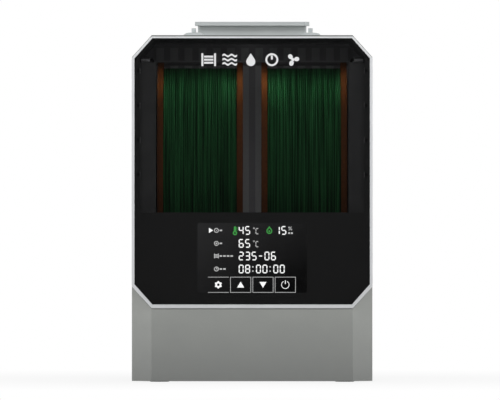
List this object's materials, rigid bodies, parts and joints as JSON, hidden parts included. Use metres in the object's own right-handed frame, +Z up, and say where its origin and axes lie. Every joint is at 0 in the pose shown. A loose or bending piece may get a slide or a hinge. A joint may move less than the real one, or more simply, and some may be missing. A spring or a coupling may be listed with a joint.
{
  "type": "filament dryer box",
  "caption": "Heated cabinet that dries and feeds filament spools on rollers, with a smoked octagonal front, a hinged top lid and a display below the window.",
  "frame": {"origin": "on the table, under the middle of the closed box", "axes": "+Z up, the window faces -Y, +X to the right as seen from the front"},
  "size_m": [0.213, 0.289, 0.3196],
  "materials": {
    "shell_grey": "fine satin texture",
    "handle_grey": "satin",
    "trim_silver": "satin silver paint",
    "smoked_panel": "smoked, polished",
    "black_print": "black print",
    "display_glass": "dark, polished",
    "backlight": "plain",
    "circuit_board": "lacquered board",
    "board_parts": "plain",
    "black_plastic": "fine texture",
    "chamber_grey": "fine texture",
    "lid_lining": "fine texture, ribbed rear wall paler",
    "black_screws": "black",
    "rubber": "matt",
    "grey_silicone": "matt",
    "roller_rubber": "matt",
    "steel": "bright",
    "card": "pressed card",
    "green_filament": "wound thread, translucent sheen",
    "heater_fins": "plain",
    "wire_cover": "plain",
    "flat_cable": "side-by-side conductors",
    "white_plastic": "plain",
    "ptfe": "translucent white"
  },
  "bodies": {
    "cabinet": {"main_housing": "shell_grey", "rear_panel": "shell_grey", "bottom_cover": "black_plastic", "rubber_feet": "rubber", "case_screws": "steel", "front_frame": "trim_silver", "front_panel": "smoked_panel", "panel_mask": "black_print", "panel_screws": "black_screws", "lcd_glass": "display_glass", "lcd_backlight": "backlight", "display_board": "circuit_board", "chamber_floor": "black_plastic", "chamber_rear_panel": "chamber_grey", "chamber_side_left": "black_plastic", "chamber_side_right": "black_plastic", "chamber_front_wall": "black_plastic", "side_roller_brackets": "black_plastic", "centre_roller_bracket": "black_plastic", "roller_bearings": "steel", "fan_frame": "black_plastic", "fan_screws": "steel", "ptc_heater": "heater_fins", "heater_duct": "black_plastic", "air_plenum": "black_plastic", "power_supply_board": "circuit_board", "power_supply_parts": "board_parts", "main_board": "circuit_board", "main_board_parts": "board_parts", "ac_inlet": "black_plastic", "ac_inlet_pins": "steel", "switch_housing": "black_plastic", "mains_wires": "wire_cover", "display_ribbon": "flat_cable", "humidity_sensor": "circuit_board", "sensor_cover": "black_plastic", "desiccant_boxes": "white_plastic", "desiccant_box_lids": "white_plastic", "hinge_pins": "steel"},
    "lid": {"lid_cover": "shell_grey", "lid_liner": "lid_lining", "lid_gasket": "grey_silicone", "handle": "handle_grey", "handle_screws": "steel", "outlet_grommets": "handle_grey", "ptfe_tubes": "ptfe"},
    "spool_left": {"spool_left_core": "card", "spool_left_filament": "green_filament"},
    "spool_right": {"spool_right_core": "card", "spool_right_filament": "green_filament"},
    "roller_front_left": {"roller_front_left_sleeve": "roller_rubber", "roller_front_left_axle": "steel"},
    "roller_rear_left": {"roller_rear_left_sleeve": "roller_rubber", "roller_rear_left_axle": "steel"},
    "roller_front_right": {"roller_front_right_sleeve": "roller_rubber", "roller_front_right_axle": "steel"},
    "roller_rear_right": {"roller_rear_right_sleeve": "roller_rubber", "roller_rear_right_axle": "steel"},
    "fan_wheel": {"fan_impeller": "black_plastic"},
    "power_rocker": {"switch_rocker": "black_plastic"}
  },
  "joints": [
    {"name": "lid_hinge", "type": "hinge", "parent": "cabinet", "child": "lid", "pos_m": [0, 0.1405, 0.284], "axis": [-1, 0, 0], "range_deg": [0, 100]},
    {"name": "spool_left_spin", "type": "hinge", "parent": "cabinet", "child": "spool_left", "pos_m": [-0.0464, 0.0095, 0.1845], "axis": [1, 0, 0], "continuous": true},
    {"name": "spool_right_spin", "type": "hinge", "parent": "cabinet", "child": "spool_right", "pos_m": [0.0464, 0.0095, 0.1845], "axis": [1, 0, 0], "continuous": true},
    {"name": "roller_front_left_spin", "type": "hinge", "parent": "cabinet", "child": "roller_front_left", "pos_m": [-0.0453, -0.0445, 0.09062], "axis": [1, 0, 0], "continuous": true},
    {"name": "roller_front_right_spin", "type": "hinge", "parent": "cabinet", "child": "roller_front_right", "pos_m": [0.0453, -0.0445, 0.09062], "axis": [1, 0, 0], "continuous": true},
    {"name": "roller_rear_left_spin", "type": "hinge", "parent": "cabinet", "child": "roller_rear_left", "pos_m": [-0.0453, 0.0635, 0.09062], "axis": [1, 0, 0], "continuous": true},
    {"name": "roller_rear_right_spin", "type": "hinge", "parent": "cabinet", "child": "roller_rear_right", "pos_m": [0.0453, 0.0635, 0.09062], "axis": [1, 0, 0], "continuous": true},
    {"name": "fan_spin", "type": "hinge", "parent": "cabinet", "child": "fan_wheel", "pos_m": [0, 0.0095, 0.044], "axis": [0, 0, 1], "continuous": true},
    {"name": "power_switch", "type": "hinge", "parent": "cabinet", "child": "power_rocker", "pos_m": [-0.057, 0.135, 0.034], "axis": [-1, 0, 0], "range_deg": [0, 20]}
  ],
  "couplings": [
    {"joint": "roller_front_left_spin", "follows": "spool_left_spin", "ratio": -12.5},
    {"joint": "roller_front_right_spin", "follows": "spool_right_spin", "ratio": -12.5},
    {"joint": "roller_rear_left_spin", "follows": "spool_left_spin", "ratio": -12.5},
    {"joint": "roller_rear_right_spin", "follows": "spool_right_spin", "ratio": -12.5}
  ]
}
